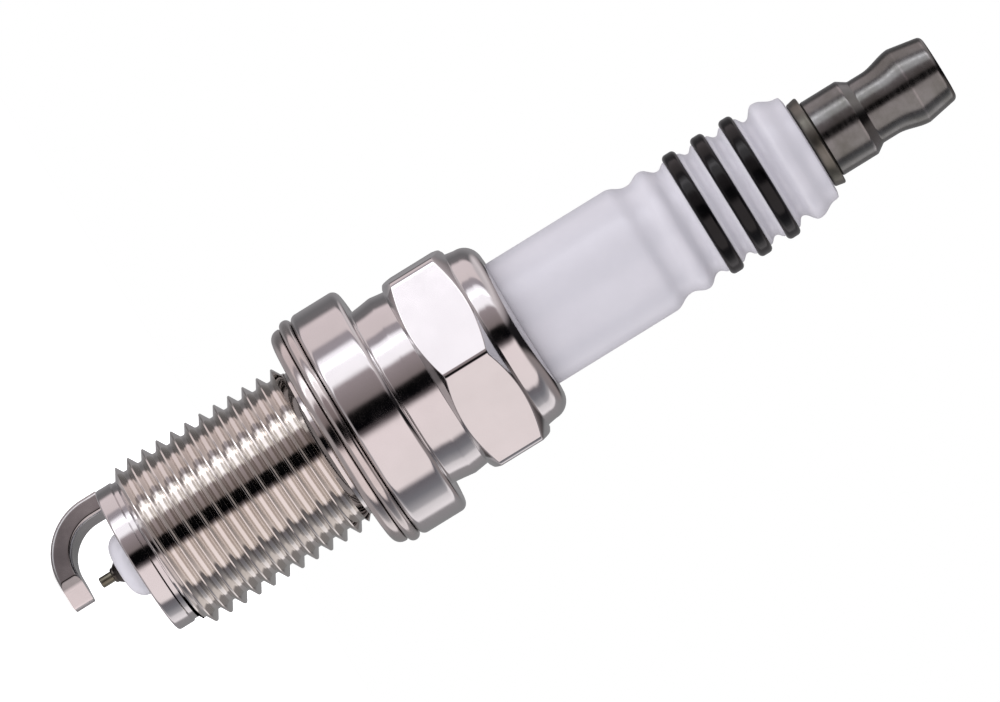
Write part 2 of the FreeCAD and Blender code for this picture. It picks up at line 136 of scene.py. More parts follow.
def quarter_round(start, end, steps=10):
    """A quarter round from a flat face to an upright side, as corners; start is left out."""
    (r0, z0), (r1, z1) = start, end
    points = []
    for step in range(1, steps + 1):
        turn = math.pi / 2 * step / steps
        points.append((r0 + (r1 - r0) * math.sin(turn), z0 + (z1 - z0) * (1 - math.cos(turn))))
    return points


def vertex_at(mesh, turn, r, z):
    """A new vertex at an angle about the plug's axis; radius and height are in millimetres."""
    return mesh.verts.new((r * math.cos(turn) * MM, r * math.sin(turn) * MM, z * MM))


def ring_of(mesh, points):
    """One vertex for each column, at its own (radius, height)."""
    count = len(points)
    return [vertex_at(mesh, 2 * math.pi * i / count, r, z) for i, (r, z) in enumerate(points)]


def stitch(mesh, low, high):
    """Quads between two rings."""
    count = len(low)
    for i in range(count):
        j = (i + 1) % count
        mesh.faces.new((low[i], low[j], high[j], high[i]))


def turned_grid(mesh, outlines, closed):
    """A surface turned about Z from one outline for each column, all with the same point count."""
    rings = [ring_of(mesh, [outline[k] for outline in outlines]) for k in range(len(outlines[0]))]
    for low, high in zip(rings, rings[1:]):
        stitch(mesh, low, high)
    if closed:
        stitch(mesh, rings[-1], rings[0])
    return rings


def finish_mesh(mesh, name, body, sharp_deg=38.0):
    """Weld, tidy and smooth a mesh, and make it a piece of the scene."""
    bmesh.ops.remove_doubles(mesh, verts=mesh.verts, dist=2e-7)
    bmesh.ops.dissolve_degenerate(mesh, edges=mesh.edges, dist=1e-8)
    bmesh.ops.recalc_face_normals(mesh, faces=mesh.faces)
    limit = math.radians(sharp_deg)
    for face in mesh.faces:
        face.smooth = True
    for edge in mesh.edges:
        edge.smooth = len(edge.link_faces) != 2 or edge.calc_face_angle(0.0) < limit
    data = bpy.data.meshes.new(name)
    mesh.to_mesh(data)
    mesh.free()
    piece = bpy.data.objects.new(name, data)
    bpy.context.scene.collection.objects.link(piece)
    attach(piece, body)
    return piece


def turned(name, corners, body, closed=True, columns=ROUND):
    """A round piece from one outline; an open outline starts and ends on the axis."""
    outline = rounded(corners, closed)
    mesh = bmesh.new()
    turned_grid(mesh, [outline] * columns, closed)
    return finish_mesh(mesh, name, body)


def thread_rows(major_r, depth, pitch):
    """One pitch of a metric thread's outline, from the middle of a root to the next."""
    root_half = pitch / 8
    crest_half = root_half + depth * math.tan(math.radians(30))
    root_r = major_r - depth
    root_fillet, crest_fillet, row_gap = pitch * 0.11, pitch * 0.05, pitch * 0.05
    corners = rounded([
        (root_r, 0.0),
        (root_r, root_half, root_fillet),
        (major_r, crest_half, crest_fillet),
        (major_r, pitch - crest_half, crest_fillet),
        (root_r, pitch - root_half, root_fillet),
        (root_r, pitch),
    ])
    rows = []
    for a, b in zip(corners, corners[1:]):
        steps = math.ceil((b - a).length / row_gap)
        rows += [a.lerp(b, step / steps) for step in range(steps)]
    return rows + corners[-1:]


def thread_surface(mesh, rows, pitch, low_z, high_z, root_z, limit_r, columns):
    """The helical surface between two heights, with a root at root_z in the first column.

    limit_r(z) is the bar's own radius, which trims the thread.
    """
    turns = math.ceil((high_z - low_z) / pitch) + 2
    start_z = low_z - pitch * 1.5
    start_z += (root_z - start_z) % pitch
    spiral = [(r, start_z + turn * pitch + z) for turn in range(turns + 1) for r, z in rows[:-1]]

    def trimmed(column):
        """The outline at one angle, with a point exactly where the bar's outline cuts it."""
        rise = pitch * column / columns
        outline = [Vector((r, min(max(z + rise, low_z), high_z))) for r, z in spiral]
        over = [r - limit_r(z) for r, z in outline]
        points = [Vector((min(r, limit_r(z)), z)) for r, z in outline]
        for row, (a, b) in enumerate(zip(over, over[1:])):
            if (a > 0) != (b > 0):
                share = a / (a - b)
                points[row + round(share)] = outline[row].lerp(outline[row + 1], share)
        turn = 2 * math.pi * column / columns
        return [vertex_at(mesh, turn, r, z) for r, z in points]

    grid = [trimmed(column) for column in range(columns + 1)]
    for left, right in zip(grid, grid[1:]):
        for row in range(len(spiral) - 1):
            mesh.faces.new((left[row], right[row], right[row + 1], left[row + 1]))


# ---------------------------------------------------------------- metal shell

THREAD_PITCH = 1.25
THREAD_DEPTH = 0.72
THREAD_R = 6.9
# Heights over the shell's firing end: the thread's two ends, a root, and the flange's face.
THREAD_NEAR = 1.75
THREAD_FAR = 16.6
THREAD_ROOT = 0.91
REACH = 19.0
UNDERCUT_R = 6.1
RELIEF_R = 5.88
FLANGE_R = 9.45
FLANGE_LENGTH = 4.1
NECK_LENGTH = 2.95
HEX_LENGTH = 5.25
HEX_FLATS = 15.8
HEX_CORNER_R = 9.0
HEX_END_R = 7.6
HEX_CHAMFER_SLOPE = math.tan(math.radians(30))


def hexagon_r(turn_deg):
    """Radius of the hexagon's side at an angle; a flat faces +X, and the corners are eased."""
    off = (turn_deg + 30) % 60 - 30
    return min(HEX_FLATS / 2 / math.cos(math.radians(off)), HEX_CORNER_R)


def shell_outline(turn_deg, end_z, top_z):
    """The shell's outline at one angle, thread left out: up from the undercut, and back inside."""
    flange_z = end_z + REACH
    flange_top_z = flange_z + FLANGE_LENGTH
    hex_z = flange_top_z + NECK_LENGTH
    hex_top_z = hex_z + HEX_LENGTH
    hex_r = hexagon_r(turn_deg)
    rise = (hex_r - HEX_END_R) * HEX_CHAMFER_SLOPE
    return rounded([
        (UNDERCUT_R, end_z + THREAD_FAR),
        (UNDERCUT_R, flange_z, 0.1),
        (FLANGE_R, flange_z, 0.55),
        (FLANGE_R, flange_top_z, 0.6),
        # the neck, a little waisted
        (7.35, flange_top_z, 0.18),
        (7.45, flange_top_z + 0.85, 0.5),
        (7.57, flange_top_z + 1.75, 0.9),
        (7.4, hex_z, 0.08),
        # the hexagon, with chamfered ends
        (HEX_END_R, hex_z, 0.06),
        (hex_r, hex_z + rise, 0.14),
        (hex_r, hex_top_z - rise, 0.16),
        (HEX_END_R, hex_top_z, 0.08),
        (7.4, hex_top_z + 0.02, 0.08),
        # the lip, rolled over onto the insulator
        (7.36, hex_top_z + 0.2, 0.08),
        (7.27, top_z - 1.5, 0.3),
        (7.27, top_z, 1.5),
        (5.27, top_z, 0.5),
        (5.27, top_z - 1.25, 0.1),
        # the stepped bore
        (6.1, top_z - 1.25, 0.1),
        (6.1, 8.1, 0.1),
        (4.9, 6.9, 0.1),
        (4.9, -6.9, 0.1),
        (3.85, -7.6, 0.1),
        (3.85, -9.2, 0.1),
        (4.5, -9.6, 0.1),
        (4.5, end_z, 0.08),
        # the pilot and the relief before the thread
        (6.0, end_z, 0.2),
        (6.0, end_z + 1.3, 0.04),
        (RELIEF_R, end_z + 1.42, 0.04),
        (RELIEF_R, end_z + THREAD_NEAR),
    ])


def make_shell():
    low, high = extent("metal_shell")
    end_z, top_z = low.z, high.z
    mesh = bmesh.new()
    angles = [360.0 * column / ROUND for column in range(ROUND)]
    turned_grid(mesh, [shell_outline(angle, end_z, top_z) for angle in angles], False)
    rows = thread_rows(THREAD_R, THREAD_DEPTH, THREAD_PITCH)
    near_z, far_z = end_z + THREAD_NEAR, end_z + THREAD_FAR

    def limit(z):
        """The bar's own radius, with a chamfer at each end of the threaded length."""
        return min(RELIEF_R + (z - near_z) * 1.7, UNDERCUT_R + (far_z - z) * 1.2)

    thread_surface(mesh, rows, THREAD_PITCH, near_z, far_z, end_z + THREAD_ROOT, limit, ROUND)
    piece = finish_mesh(mesh, "shell_skin", "plug_core")
    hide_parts("metal_shell")
    return piece


# ---------------------------------------------------------------- gasket

def make_gasket():
    """One sheet folded out, in and out again; the folds are round."""
    low, high = extent("crush_gasket")
    sheet = 0.40
    # heights of the undersides of the second, third and fourth layers
    second, third, fourth = 0.6, 1.06, 1.58
    top_z, outer_r = high.z, high.x
    lower_r = outer_r - 0.35
    corners = [
        (7.35, low.z, 0.12),
        (lower_r, low.z, 0.8),
        (lower_r, second + sheet, 0.14),
        (7.56, second + sheet, 0.03),
        (7.56, third, 0.03),
        (outer_r, third, 0.44),
        (outer_r, top_z, 0.44),
        (6.6, top_z, 0.12),
        (6.6, fourth, 0.12),
        (outer_r - 0.4, fourth, 0.06),
        (outer_r - 0.4, third + sheet, 0.06),
        (7.1, third + sheet, 0.4),
        (7.1, second, 0.4),
        (lower_r - 0.4, second, 0.1),
        (lower_r - 0.4, sheet, 0.1),
        (7.35, sheet, 0.12),
    ]
    piece = turned("gasket_skin", corners, "gasket")
    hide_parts("crush_gasket")
    return piece


# ---------------------------------------------------------------- insulator and its bands

BAND_FOOT_R = 4.7
BAND_CORNER = 0.36
BAND_SKIN = 0.08


def make_insulator():
    low, high = extent("insulator")
    head_z = high.z
    bands = [extent("insulator_band_%d" % number) for number in (1, 2, 3)]
    corners = [
        (1.0, low.z, 0.03),
        (1.2, low.z, 0.0),
        *quarter_round((1.2, low.z), (2.6, low.z + 1.2)),
        (3.3, -7.5, 0.2),
        (4.8, -6.55, 0.2),
        (4.8, 6.95, 0.2),
        (6.0, 8.15, 0.2),
        (6.0, 11.9, 0.2),
        (4.95, 12.5, 0.2),
        (4.95, 16.3, 0.1),
        (5.2, 16.55, 0.1),
        (5.2, 26.75),
    ]
    path = [(5.2, 26.75), (4.63, 28.45), (5.04, 29.75), (4.36, 31.0)]
    valleys = [(4.29, 33.55), (4.28, 36.0), (4.09, 38.4)]
    for start, end in zip(path, path[1:]):
        corners += wave(start, end)
    for (band_low, band_high), valley in zip(bands, valleys):
        foot = (BAND_FOOT_R, band_low.z)
        corners += wave(corners[-1][:2], foot, 6)
        crest_r = band_high.x - BAND_SKIN
        corners += [
            (crest_r, band_low.z + BAND_SKIN, BAND_CORNER - BAND_SKIN),
            (crest_r, band_high.z - BAND_SKIN, BAND_CORNER - BAND_SKIN),
            (BAND_FOOT_R, band_high.z),
        ]
        corners += wave((BAND_FOOT_R, band_high.z), valley, 6)
    corners += wave(corners[-1][:2], (4.93, 39.5))
    corners += wave((4.93, 39.5), (4.36, 41.2))
    corners += [
        (4.31, head_z - 0.12, 0.1),
        (3.9, head_z, 0.1),
        (2.1, head_z, 0.1),
        (2.1, 1.05, 0.1),
        (1.0, 0.45, 0.1),
    ]
    piece = turned("insulator_skin", corners, "plug_core")
    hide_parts("insulator")
    return piece


def make_band(number):
    node = "insulator_band_%d" % number
    low, high = extent(node)
    r = high.x
    inner_r = r - BAND_SKIN
    corners = [
        (BAND_FOOT_R, low.z, 0.02),
        (r, low.z, BAND_CORNER),
        (r, high.z, BAND_CORNER),
        (BAND_FOOT_R, high.z, 0.02),
        (BAND_FOOT_R, high.z - BAND_SKIN, 0.01),
        (inner_r, high.z - BAND_SKIN, BAND_CORNER - BAND_SKIN),
        (inner_r, low.z + BAND_SKIN, BAND_CORNER - BAND_SKIN),
        (BAND_FOOT_R, low.z + BAND_SKIN, 0.01),
    ]
    piece = turned("band_skin_%d" % number, corners, "plug_core")
    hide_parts(node)
    return piece


# ---------------------------------------------------------------- electrodes

def make_centre_electrode():
    low, high = extent("centre_electrode")
    tip_low, tip_high = extent("centre_electrode_tip")
    corners = [
        (0.42, low.z, 0.02),
        (0.60, low.z, 0.05),
        (0.94, low.z + 0.4, 0.08),
        (0.95, 0.5, 0.05),
        (1.9, 1.05, 0.05),
        (1.9, 1.95, 0.1),
        (1.2, 2.15, 0.05),
        (1.2, high.z, 0.05),
        (0.55, high.z, 0.02),
        (0.55, -14.5, 0.2),
        (0.1, -15.0, 0.05),
        (0.1, tip_high.z + 0.4, 0.02),
        (0.42, tip_high.z + 0.02, 0.02),
    ]
    pin = turned("pin_skin", corners, "plug_core", columns=FINE_ROUND)
    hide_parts("centre_electrode")
    tip_r = tip_high.x
    tip_corners = [
        (0.0, tip_low.z),
        (tip_r, tip_low.z, 0.1),
        (tip_r, tip_high.z, 0.02),
        (0.0, tip_high.z),
    ]
    tip = turned("tip_skin", tip_corners, "plug_core", False, FINE_ROUND)
    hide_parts("centre_electrode_tip")
    return pin, tip


# The strap's outer face runs along the side at STRAP_OUT_R, round a bend, and under the tip. Its
# free end lies STRAP_REACH beyond the plug's axis, and its sides narrow towards it.
STRAP_TURN_DEG = 161.0
STRAP_WIDTH = 2.75
STRAP_THICK = 1.62
STRAP_EDGE = 0.32
STRAP_OUT_R = 6.0
STRAP_BEND_R = 4.6
STRAP_REACH = 0.85
STRAP_TAPER_LENGTH = 2.1
STRAP_TAPER_END_WIDTH = 0.85
STRAP_END_ROUND = 0.12
STRAP_STEPS = 32


def strap_section():
    """Points round the bar's section: (across its width, in from its outer face)."""
    half = STRAP_WIDTH / 2
    loop = rounded([
        (half, 0.0, STRAP_EDGE),
        (half, STRAP_THICK, STRAP_EDGE),
        (-half, STRAP_THICK, STRAP_EDGE),
        (-half, 0.0, STRAP_EDGE),
    ], closed=True)
    dense = []
    for a, b in zip(loop, loop[1:] + loop[:1]):
        steps = 8 if (b - a).length > 0.5 else 1
        dense += [a.lerp(b, step / steps) for step in range(steps)]
    return dense


def strap_stations(root_z, out_z):
    """Along the bar: (point on its outer face, direction inwards, length left, rounding inset)."""
    bend_r = STRAP_OUT_R - STRAP_BEND_R
    bend_z = out_z + STRAP_BEND_R
    arm = bend_r + STRAP_REACH
    arc = STRAP_BEND_R * math.pi / 2
    stations = []
    for step in range(7):
        z = root_z + (bend_z - root_z) * step / 6
        stations.append((Vector((STRAP_OUT_R, z)), Vector((-1, 0)), arm + arc, 0.0))
    for step in range(1, STRAP_STEPS + 1):
        turn = math.pi / 2 * step / STRAP_STEPS
        inward = Vector((-math.cos(turn), math.sin(turn)))
        spot = Vector((bend_r, bend_z)) - inward * STRAP_BEND_R
        stations.append((spot, inward, arm + arc * (1 - step / STRAP_STEPS), 0.0))
    for step in range(1, STRAP_STEPS + 1):
        left = STRAP_END_ROUND + (arm - STRAP_END_ROUND) * (1 - step / STRAP_STEPS)
        stations.append((Vector((left - STRAP_REACH, out_z)), Vector((0, 1)), left, 0.0))
    for step in range(1, 5):
        turn = math.pi / 2 * step / 4
        left = STRAP_END_ROUND * (1 - math.sin(turn))
        inset = STRAP_END_ROUND * (1 - math.cos(turn))
        stations.append((Vector((left - STRAP_REACH, out_z)), Vector((0, 1)), left, inset))
    return stations


def make_strap():
    low, high = extent("ground_electrode")
    section = strap_section()
    mesh = bmesh.new()
    turn = Matrix.Rotation(math.radians(STRAP_TURN_DEG), 3, "Z")
    narrowing = (STRAP_WIDTH - STRAP_TAPER_END_WIDTH) / 2 / STRAP_TAPER_LENGTH
    rings = []
    for spot, inward, left, inset in strap_stations(high.z, low.z):
        half = STRAP_WIDTH / 2 - max(0.0, STRAP_TAPER_LENGTH - left) * narrowing - inset
        ring = []
        for across, depth in section:
            across = min(max(across, -half), half)
            depth = min(max(depth, inset), STRAP_THICK - inset)
            r, z = spot + inward * depth
            ring.append(mesh.verts.new(turn @ Vector((r, across, z)) * MM))
        rings.append(ring)
    for a, b in zip(rings, rings[1:]):
        stitch(mesh, a, b)
    mesh.faces.new(rings[0])
    mesh.faces.new(rings[-1])
    piece = finish_mesh(mesh, "strap_skin", "plug_core", 24.0)
    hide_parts("ground_electrode")
    return piece


# ---------------------------------------------------------------- terminal

NUT_BORE_R = 2.05


def make_nut():
    low, high = extent("terminal_nut")
    foot, top, r = low.z, high.z, high.x
    corners = [
        (NUT_BORE_R + 0.35, foot, 0.05),
        (r, foot, 0.15),
        (r, foot + 3.10, 0.3),
        (2.63, foot + 3.84, 0.3),
        (2.63, foot + 5.08),
        *wave((2.63, foot + 5.08), (r, foot + 7.63), 16, 0.33),
        (2.66, top, 0.45),
        (NUT_BORE_R + 0.12, top, 0.04),
        (NUT_BORE_R, top - 0.15, 0.06),
        (NUT_BORE_R, foot + 0.35, 0.1),
    ]
    piece = turned("nut_skin", corners, "nut")
    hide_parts("terminal_nut")
    return piece


STUD_PITCH = 0.7
STUD_DEPTH = 0.42
STUD_R = 2.0
STUD_RELIEF_R = 1.55


def make_stud():
    """The stud's shank, flared collar and threaded end."""
    low, high = extent("terminal_stud")
    collar_r = high.x
    collar_z = extent("insulator")[1].z + 0.05
    collar_top = collar_z + 0.9
    thread_z, thread_top = collar_top + 0.3, high.z
    below = [
        (0.0, low.z),
        (1.75, low.z, 0.1),
        (1.75, low.z + 3.0, 0.05),
        (1.95, low.z + 3.2, 0.05),
        (1.95, collar_z, 0.02),
        (3.5, collar_z, 0.15),
        (collar_r, collar_top, 0.15),
        (STUD_RELIEF_R, collar_top, 0.05),
        (STUD_RELIEF_R, thread_z),
    ]
    above = [(STUD_RELIEF_R, thread_top), (0.0, thread_top)]
    mesh = bmesh.new()
    for corners in (below, above):
        turned_grid(mesh, [rounded(corners)] * FINE_ROUND, False)
    rows = thread_rows(STUD_R, STUD_DEPTH, STUD_PITCH)

    def limit(z):
        near = STUD_RELIEF_R + (z - thread_z)
        far = STUD_RELIEF_R + (thread_top - z)
        return min(STUD_R, near, far)

    root_z = thread_z + 0.1
    thread_surface(mesh, rows, STUD_PITCH, thread_z, thread_top, root_z, limit, FINE_ROUND)
    piece = finish_mesh(mesh, "stud_skin", "plug_core")
    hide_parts("terminal_stud")
    return piece


# ---------------------------------------------------------------- materials

class Surface:
    """A node material with one Principled shader, built up by named calls."""

    def __init__(self, name, **values):
        self.material = bpy.data.materials.new(name)
        self.material.use_nodes = True
        self.nodes = self.material.node_tree.nodes
        self.links = self.material.node_tree.links
        self.shader = self.nodes["Principled BSDF"]
        for socket, value in values.items():
            self.shader.inputs[socket.replace("_", " ")].default_value = value
        self.place = self.nodes.new("ShaderNodeTexCoord").outputs["Object"]

    def spread(self, scale):
        """Object coordinates, in metres, stretched by a scale for each axis."""
        node = self.nodes.new("ShaderNodeVectorMath")
        node.operation = "MULTIPLY"
        node.inputs[1].default_value = scale
        self.links.new(self.place, node.inputs[0])
        return node.outputs[0]

    def noise(self, scale, detail=3.0, roughness=0.55):
        """Soft random cells; scale is in cells per metre along each axis."""
        node = self.nodes.new("ShaderNodeTexNoise")
        node.inputs["Scale"].default_value = 1.0
        node.inputs["Detail"].default_value = detail
        node.inputs["Roughness"].default_value = roughness
        self.links.new(self.spread(scale), node.inputs["Vector"])
        return node.outputs["Fac"]

    def math(self, operation, a, b=0.0):
        node = self.nodes.new("ShaderNodeMath")
        node.operation = operation
        for socket, value in zip(node.inputs, (a, b)):
            if isinstance(value, (int, float)):
                socket.default_value = value
            else:
                self.links.new(value, socket)
        return node.outputs[0]

    def radius(self):
        """Distance from the plug's axis, in metres."""
        split = self.nodes.new("ShaderNodeSeparateXYZ")
        self.links.new(self.place, split.inputs[0])
        x, y = split.outputs["X"], split.outputs["Y"]
        squares = self.math("ADD", self.math("MULTIPLY", x, x), self.math("MULTIPLY", y, y))
        return self.math("SQRT", squares)

    def height(self):
        split = self.nodes.new("ShaderNodeSeparateXYZ")
        self.links.new(self.place, split.inputs[0])
        return split.outputs["Z"]

    def remap(self, value, low, high, to_low, to_high):
        node = self.nodes.new("ShaderNodeMapRange")
        node.inputs["From Min"].default_value = low
        node.inputs["From Max"].default_value = high
        node.inputs["To Min"].default_value = to_low
        node.inputs["To Max"].default_value = to_high
        self.links.new(value, node.inputs["Value"])
        return node.outputs["Result"]

    def colours(self, value, *stops):
        """A colour ramp of (position, (red, green, blue)) stops."""
        node = self.nodes.new("ShaderNodeValToRGB")
        ramp = node.color_ramp
        while len(ramp.elements) < len(stops):
            ramp.elements.new(0.5)
        for element, (position, colour) in zip(ramp.elements, stops):
            element.position = position
            element.color = (*colour, 1.0)
        self.links.new(value, node.inputs["Fac"])
        return node.outputs["Color"]

    def blend(self, share, a, b):
        node = self.nodes.new("ShaderNodeMix")
        node.data_type = "RGBA"
        self.links.new(share, node.inputs[0])
        self.links.new(a, node.inputs[6])
        self.links.new(b, node.inputs[7])
        return node.outputs[2]

    def colour(self, value):
        self.links.new(value, self.shader.inputs["Base Color"])

    def rough(self, value):
        self.links.new(value, self.shader.inputs["Roughness"])

    def bump(self, *layers):
        """Stack bumps of (height, strength, depth in metres)."""
        normal = None
        for height, strength, depth in layers:
            node = self.nodes.new("ShaderNodeBump")
            node.inputs["Strength"].default_value = strength
            node.inputs["Distance"].default_value = depth
            self.links.new(height, node.inputs["Height"])
            if normal:
                self.links.new(normal, node.inputs["Normal"])
            normal = node.outputs["Normal"]
        self.links.new(normal, self.shader.inputs["Normal"])


def plated_steel():
    """Bright nickel plate over turned steel, a little warmer on the thread."""
    m = Surface("plated_steel", Metallic=1.0)
    patch = m.noise((260, 260, 260), 4.0)
    plate = m.colours(patch, (0.3, (0.61, 0.60, 0.60)), (0.7, (0.65, 0.64, 0.64)))
    flank = m.colours(patch, (0.3, (0.67, 0.645, 0.61)), (0.7, (0.72, 0.70, 0.67)))
    threaded = m.math("MULTIPLY",
        m.remap(m.height(), -0.0151, -0.0149, 0.0, 1.0),
        m.remap(m.height(), -0.0002, -0.0004, 0.0, 1.0))
    m.colour(m.blend(threaded, plate, flank))
    finish = m.remap(m.noise((900, 900, 900), 5.0), 0.3, 0.7, 0.07, 0.13)
    m.rough(m.math("MULTIPLY", finish, m.remap(threaded, 0.0, 1.0, 1.0, 0.55)))
    rings = m.noise((40, 40, 9000), 3.0)
    grain = m.noise((2500, 2500, 2500), 2.0)
    m.bump((rings, 0.02, 2e-5), (grain, 0.02, 2e-5))
    return m.material


def gasket_steel():
    m = Surface("gasket_steel", Metallic=1.0)
    patch = m.noise((500, 500, 500), 4.0)
    m.colour(m.colours(patch, (0.3, (0.53, 0.50, 0.49)), (0.7, (0.64, 0.61, 0.59))))
    m.rough(m.remap(patch, 0.3, 0.7, 0.09, 0.18))
    m.bump((m.noise((30, 30, 9000), 3.0), 0.06, 2e-5))
    return m.material


def strap_nickel():
    """Nickel alloy, duller towards the free end, where the cut faces are bright."""
    m = Surface("strap_nickel", Metallic=1.0)
    patch = m.noise((700, 700, 700), 5.0)
    near = m.colours(patch, (0.3, (0.45, 0.44, 0.435)), (0.7, (0.55, 0.54, 0.53)))
    far = m.colours(patch, (0.3, (0.26, 0.26, 0.26)), (0.7, (0.36, 0.36, 0.355)))
    cut = m.colours(patch, (0.3, (0.60, 0.585, 0.58)), (0.7, (0.68, 0.665, 0.66)))
    dull = m.blend(m.remap(m.height(), -0.0165, -0.0215, 0.0, 1.0), near, far)
    m.colour(m.blend(m.remap(m.radius(), 0.00115, 0.00135, 1.0, 0.0), dull, cut))
    m.rough(m.remap(patch, 0.3, 0.7, 0.08, 0.16))
    m.bump((m.noise((9000, 9000, 1500), 3.0), 0.05, 2e-5))
    return m.material


def glazed_alumina():
    m = Surface("glazed_alumina", Roughness=0.3, Coat_Weight=0.15, Coat_Roughness=0.2)
    cloud = m.noise((300, 300, 300), 3.0)
    m.colour(m.colours(cloud, (0.3, (0.555, 0.547, 0.597)), (0.7, (0.585, 0.577, 0.627))))
    m.bump((m.noise((1500, 1500, 1500), 2.0), 0.02, 2e-5))
    return m.material


def black_glaze():
    m = Surface("black_glaze", Specular_IOR_Level=0.26)
    cloud = m.noise((900, 900, 900), 3.0)
    m.colour(m.colours(cloud, (0.3, (0.0008, 0.0008, 0.001)), (0.7, (0.003, 0.003, 0.0035))))
    m.rough(m.remap(cloud, 0.3, 0.7, 0.10, 0.20))
    m.bump((m.noise((1800, 1800, 1800), 2.0), 0.05, 2e-5))
    return m.material


def turned_steel(name, dark, light, low_rough, high_rough):
    """Plain steel with the fine rings that a lathe leaves."""
    m = Surface(name, Metallic=1.0)
    patch = m.noise((600, 600, 600), 4.0)
    m.colour(m.colours(patch, (0.3, dark), (0.7, light)))
    m.rough(m.remap(m.noise((60, 60, 4000), 3.0), 0.3, 0.7, low_rough, high_rough))
    m.bump((m.noise((30, 30, 9000), 3.0), 0.04, 2e-5), (patch, 0.05, 3e-5))
    return m.material


def nut_steel():
    """Dark plated steel, with a painted highlight: lighter lines along the shoulder, the ridge and
    the top edge of the terminal.
    """
    m = Surface("nut_steel", Metallic=1.0)
    patch = m.noise((450, 450, 450), 5.0)
    skin = m.colours(patch, (0.3, (0.13, 0.132, 0.12)), (0.7, (0.22, 0.224, 0.222)))
    # the lighter colour of the painted highlight lines
    painted_highlight = m.colours(patch, (0.3, (0.20, 0.195, 0.19)), (0.7, (0.34, 0.33, 0.33)))
    low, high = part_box("terminal_nut")
    half = 0.14 * MM
    edges = None
    # thin bands at the shoulder, the ridge and the top edge, where the painted highlight colour
    # goes
    for level in (low.z + 3.05 * MM, low.z + 7.65 * MM, high.z - 0.35 * MM):
        rise = m.remap(m.height(), level - half, level, 0.0, 1.0)
        fall = m.remap(m.height(), level, level + half, 1.0, 0.0)
        line = m.math("MULTIPLY", rise, fall)
        edges = m.math("ADD", edges, line) if edges else line
    m.colour(m.blend(m.math("MULTIPLY", edges, m.remap(patch, 0.35, 0.6, 0.2, 0.9)), skin, painted_highlight))
    m.rough(m.remap(m.noise((60, 60, 4000), 3.0), 0.3, 0.7, 0.16, 0.26))
    m.bump((m.noise((30, 30, 9000), 3.0), 0.02, 2e-5), (patch, 0.05, 3e-5))
    return m.material


def matt(name, dark, light, rough, metallic=0.0, cells=2500):
    """A granular filling, such as powder, glass or resistor mix."""
    m = Surface(name, Metallic=metallic, Roughness=rough)
    grain = m.noise((cells, cells, cells), 5.0)
    m.colour(m.colours(grain, (0.35, dark), (0.65, light)))
    m.bump((grain, 0.3, 4e-5))
    return m.material


def dress():
    """Make the materials, and give every carried-over CAD node its slot's material."""
    looks = {
        "plated_steel": plated_steel(),
        "gasket_steel": gasket_steel(),
        "strap_nickel": strap_nickel(),
        "glazed_alumina": glazed_alumina(),
        "black_glaze": black_glaze(),
        "pin_nickel": turned_steel(
            "pin_nickel", (0.06, 0.055, 0.05), (0.13, 0.12, 0.11), 0.3, 0.45),
        "precious_tip": turned_steel(
            "precious_tip", (0.15, 0.145, 0.11), (0.26, 0.25, 0.20), 0.3, 0.45),
        "weld_metal": matt("weld_metal", (0.06, 0.055, 0.05), (0.16, 0.15, 0.13), 0.4, 1.0, 4000),
        "stud_steel": turned_steel(
            "stud_steel", (0.11, 0.11, 0.09), (0.19, 0.185, 0.165), 0.28, 0.42),
        "nut_steel": nut_steel(),
        "washer_steel": turned_steel(
            "washer_steel", (0.30, 0.28, 0.27), (0.42, 0.40, 0.38), 0.35, 0.5),
        "copper": turned_steel("copper", (0.60, 0.27, 0.16), (0.78, 0.40, 0.26), 0.25, 0.4),
        "seal_glass": matt("seal_glass", (0.07, 0.045, 0.035), (0.22, 0.13, 0.09), 0.35),
        "resistor_body": matt("resistor_body", (0.02, 0.02, 0.022), (0.07, 0.07, 0.075), 0.8),
        "talc": matt("talc", (0.66, 0.64, 0.58), (0.84, 0.82, 0.77), 0.9),
    }
    slots = {sub["node"]: sub["material_slot"] for sub in frame["record"]["subparts"]}
    for node, piece in frame["nodes"].items():
        wear(piece, looks[slots[node]])
    return looks


def wear(piece, material):
    piece.data.materials.clear()
    piece.data.materials.append(material)


# ---------------------------------------------------------------- setting

# The camera's turn about the plug, the slope of the plug's axis in the picture, and the picture's
# width, its middle and the camera's own place before the turn, in millimetres.
CAMERA_SWING = 2.9
PICTURE_RISE = 31.65
PICTURE_WIDTH = 74.07
PICTURE_MIDDLE = (0.85, 0.0, 14.1)
CAMERA_PLACE = (0.85, -600.0, 29.5)


def make_camera():
    """Almost square to the plug's axis, rolled so that the terminal points up to the right."""
    swing = Matrix.Rotation(math.radians(-CAMERA_SWING), 3, "Z")
    aim = swing @ Vector(PICTURE_MIDDLE)
    place = swing @ Vector(CAMERA_PLACE)
    rise = math.radians(PICTURE_RISE)
    lens = bpy.data.cameras.new("camera")
    lens.sensor_width = 36.0
    lens.lens = lens.sensor_width * (place - aim).length / PICTURE_WIDTH
    lens.clip_start, lens.clip_end = 0.01, 20.0
    camera = bpy.data.objects.new("camera", lens)
    back = (place - aim).normalized()
    along = (Vector((0, 0, 1)) - back * back.z).normalized()
    across = along.cross(back)
    right = along * math.cos(rise) + across * math.sin(rise)
    up = along * math.sin(rise) - across * math.cos(rise)
    turn = Matrix((right, up, back)).transposed().to_4x4()
    camera.matrix_world = Matrix.Translation(place * MM) @ turn
    bpy.context.scene.collection.objects.link(camera)
    bpy.context.scene.camera = camera


